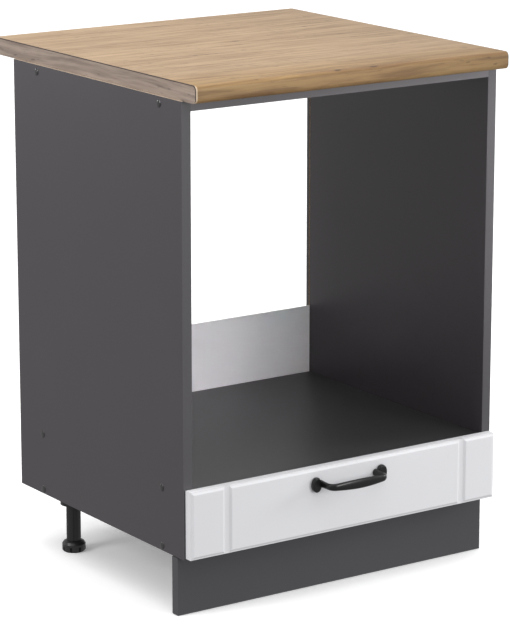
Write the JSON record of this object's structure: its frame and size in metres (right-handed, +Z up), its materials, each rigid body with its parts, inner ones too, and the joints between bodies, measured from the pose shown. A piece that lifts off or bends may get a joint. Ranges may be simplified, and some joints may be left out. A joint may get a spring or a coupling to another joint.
{
  "type": "oven housing cabinet",
  "caption": "Kitchen base cabinet that houses a built-in oven: graphite carcass, oak decor worktop, white drawer below the oven shelf, adjustable legs and a plinth.",
  "frame": {"origin": "on the floor, in the middle of the outline from handle to worktop", "axes": "+Z up, +X to the right seen from the front, the front faces -Y"},
  "size_m": [0.6034, 0.621, 0.843],
  "materials": {
    "carcass_board": "graphite melamine board, satin",
    "edge_band": "graphite edge band",
    "plinth_board": "graphite melamine board, satin",
    "back_board": "pale grey lacquered fibreboard",
    "worktop": "oak decor laminate, fine grain",
    "worktop_edge": "oak decor end band",
    "drawer_front": "white foil, satin",
    "drawer_box": "white melamine board",
    "drawer_bottom": "white lacquered fibreboard",
    "handle": "black, satin, cast",
    "leg_plastic": "black moulded plastic",
    "clip_plastic": "black moulded plastic",
    "screw_cap": "grey cover caps",
    "runner": "white powder coat on steel",
    "roller": "white nylon",
    "screw_steel": "zinc plated steel",
    "dowel_wood": "beech"
  },
  "bodies": {
    "cabinet": {"back_panel": "back_board", "back_panel_nails": "screw_steel", "bottom_edge_band": "edge_band", "bottom_panel": "carcass_board", "cabinet_roller_axles": "screw_steel", "cabinet_runner_screws": "screw_steel", "carcass_dowels": "dowel_wood", "carcass_screws": "screw_steel", "leg_screws": "screw_steel", "leg_socket_front_left": "leg_plastic", "leg_socket_front_right": "leg_plastic", "leg_socket_rear_left": "leg_plastic", "leg_socket_rear_right": "leg_plastic", "leg_tube_front_left": "leg_plastic", "leg_tube_front_right": "leg_plastic", "leg_tube_rear_left": "leg_plastic", "leg_tube_rear_right": "leg_plastic", "oven_shelf": "carcass_board", "plinth_board": "plinth_board", "plinth_clip_screws": "screw_steel", "plinth_clips": "clip_plastic", "rail_edge_band": "edge_band", "runner_cabinet_left": "runner", "runner_cabinet_right": "runner", "screw_caps": "screw_cap", "shelf_edge_band": "edge_band", "side_edge_band_left": "edge_band", "side_edge_band_right": "edge_band", "side_panel_left": "carcass_board", "side_panel_right": "carcass_board", "top_rail_front": "carcass_board", "top_rail_rear": "carcass_board", "worktop": "worktop", "worktop_edge_left": "worktop_edge", "worktop_edge_right": "worktop_edge", "worktop_screws": "screw_steel"},
    "drawer": {"drawer_front": "drawer_front", "drawer_side_left": "drawer_box", "drawer_side_right": "drawer_box", "drawer_inner_front": "drawer_box", "drawer_back": "drawer_box", "drawer_bottom": "drawer_bottom", "handle": "handle", "handle_screws": "screw_steel", "drawer_box_screws": "screw_steel", "drawer_front_screws": "screw_steel", "drawer_runner_screws": "screw_steel", "runner_drawer_left": "runner", "runner_drawer_right": "runner", "drawer_roller_axles": "screw_steel"},
    "cabinet_roller_left": {"cabinet_roller_left": "roller"},
    "drawer_roller_left": {"drawer_roller_left": "roller"},
    "cabinet_roller_right": {"cabinet_roller_right": "roller"},
    "drawer_roller_right": {"drawer_roller_right": "roller"},
    "foot_front_left": {"leg_foot_front_left": "leg_plastic"},
    "foot_front_right": {"leg_foot_front_right": "leg_plastic"},
    "foot_rear_left": {"leg_foot_rear_left": "leg_plastic"},
    "foot_rear_right": {"leg_foot_rear_right": "leg_plastic"}
  },
  "joints": [
    {"name": "drawer_slide", "type": "slide", "parent": "cabinet", "child": "drawer", "axis": [0, -1, 0], "range_m": [0, 0.345]},
    {"name": "cabinet_roller_left_turn", "type": "hinge", "parent": "cabinet", "child": "cabinet_roller_left", "pos_m": [-0.2752, -0.2395, 0.1343], "axis": [1, 0, 0], "continuous": true},
    {"name": "cabinet_roller_right_turn", "type": "hinge", "parent": "cabinet", "child": "cabinet_roller_right", "pos_m": [0.2752, -0.2395, 0.1343], "axis": [1, 0, 0], "continuous": true},
    {"name": "drawer_roller_left_turn", "type": "hinge", "parent": "drawer", "child": "drawer_roller_left", "pos_m": [-0.2798, 0.1815, 0.1343], "axis": [1, 0, 0], "continuous": true},
    {"name": "drawer_roller_right_turn", "type": "hinge", "parent": "drawer", "child": "drawer_roller_right", "pos_m": [0.2798, 0.1815, 0.1343], "axis": [1, 0, 0], "continuous": true},
    {"name": "foot_front_left_height", "type": "slide", "parent": "cabinet", "child": "foot_front_left", "axis": [0, 0, -1], "range_m": [0, 0.015]},
    {"name": "foot_front_right_height", "type": "slide", "parent": "cabinet", "child": "foot_front_right", "axis": [0, 0, -1], "range_m": [0, 0.015]},
    {"name": "foot_rear_left_height", "type": "slide", "parent": "cabinet", "child": "foot_rear_left", "axis": [0, 0, -1], "range_m": [0, 0.015]},
    {"name": "foot_rear_right_height", "type": "slide", "parent": "cabinet", "child": "foot_rear_right", "axis": [0, 0, -1], "range_m": [0, 0.015]}
  ],
  "couplings": [
    {"joint": "cabinet_roller_left_turn", "follows": "drawer_slide", "rad_per_m": 111.11},
    {"joint": "cabinet_roller_right_turn", "follows": "drawer_slide", "rad_per_m": 111.11},
    {"joint": "drawer_roller_left_turn", "follows": "drawer_slide", "rad_per_m": 111.11},
    {"joint": "drawer_roller_right_turn", "follows": "drawer_slide", "rad_per_m": 111.11}
  ]
}
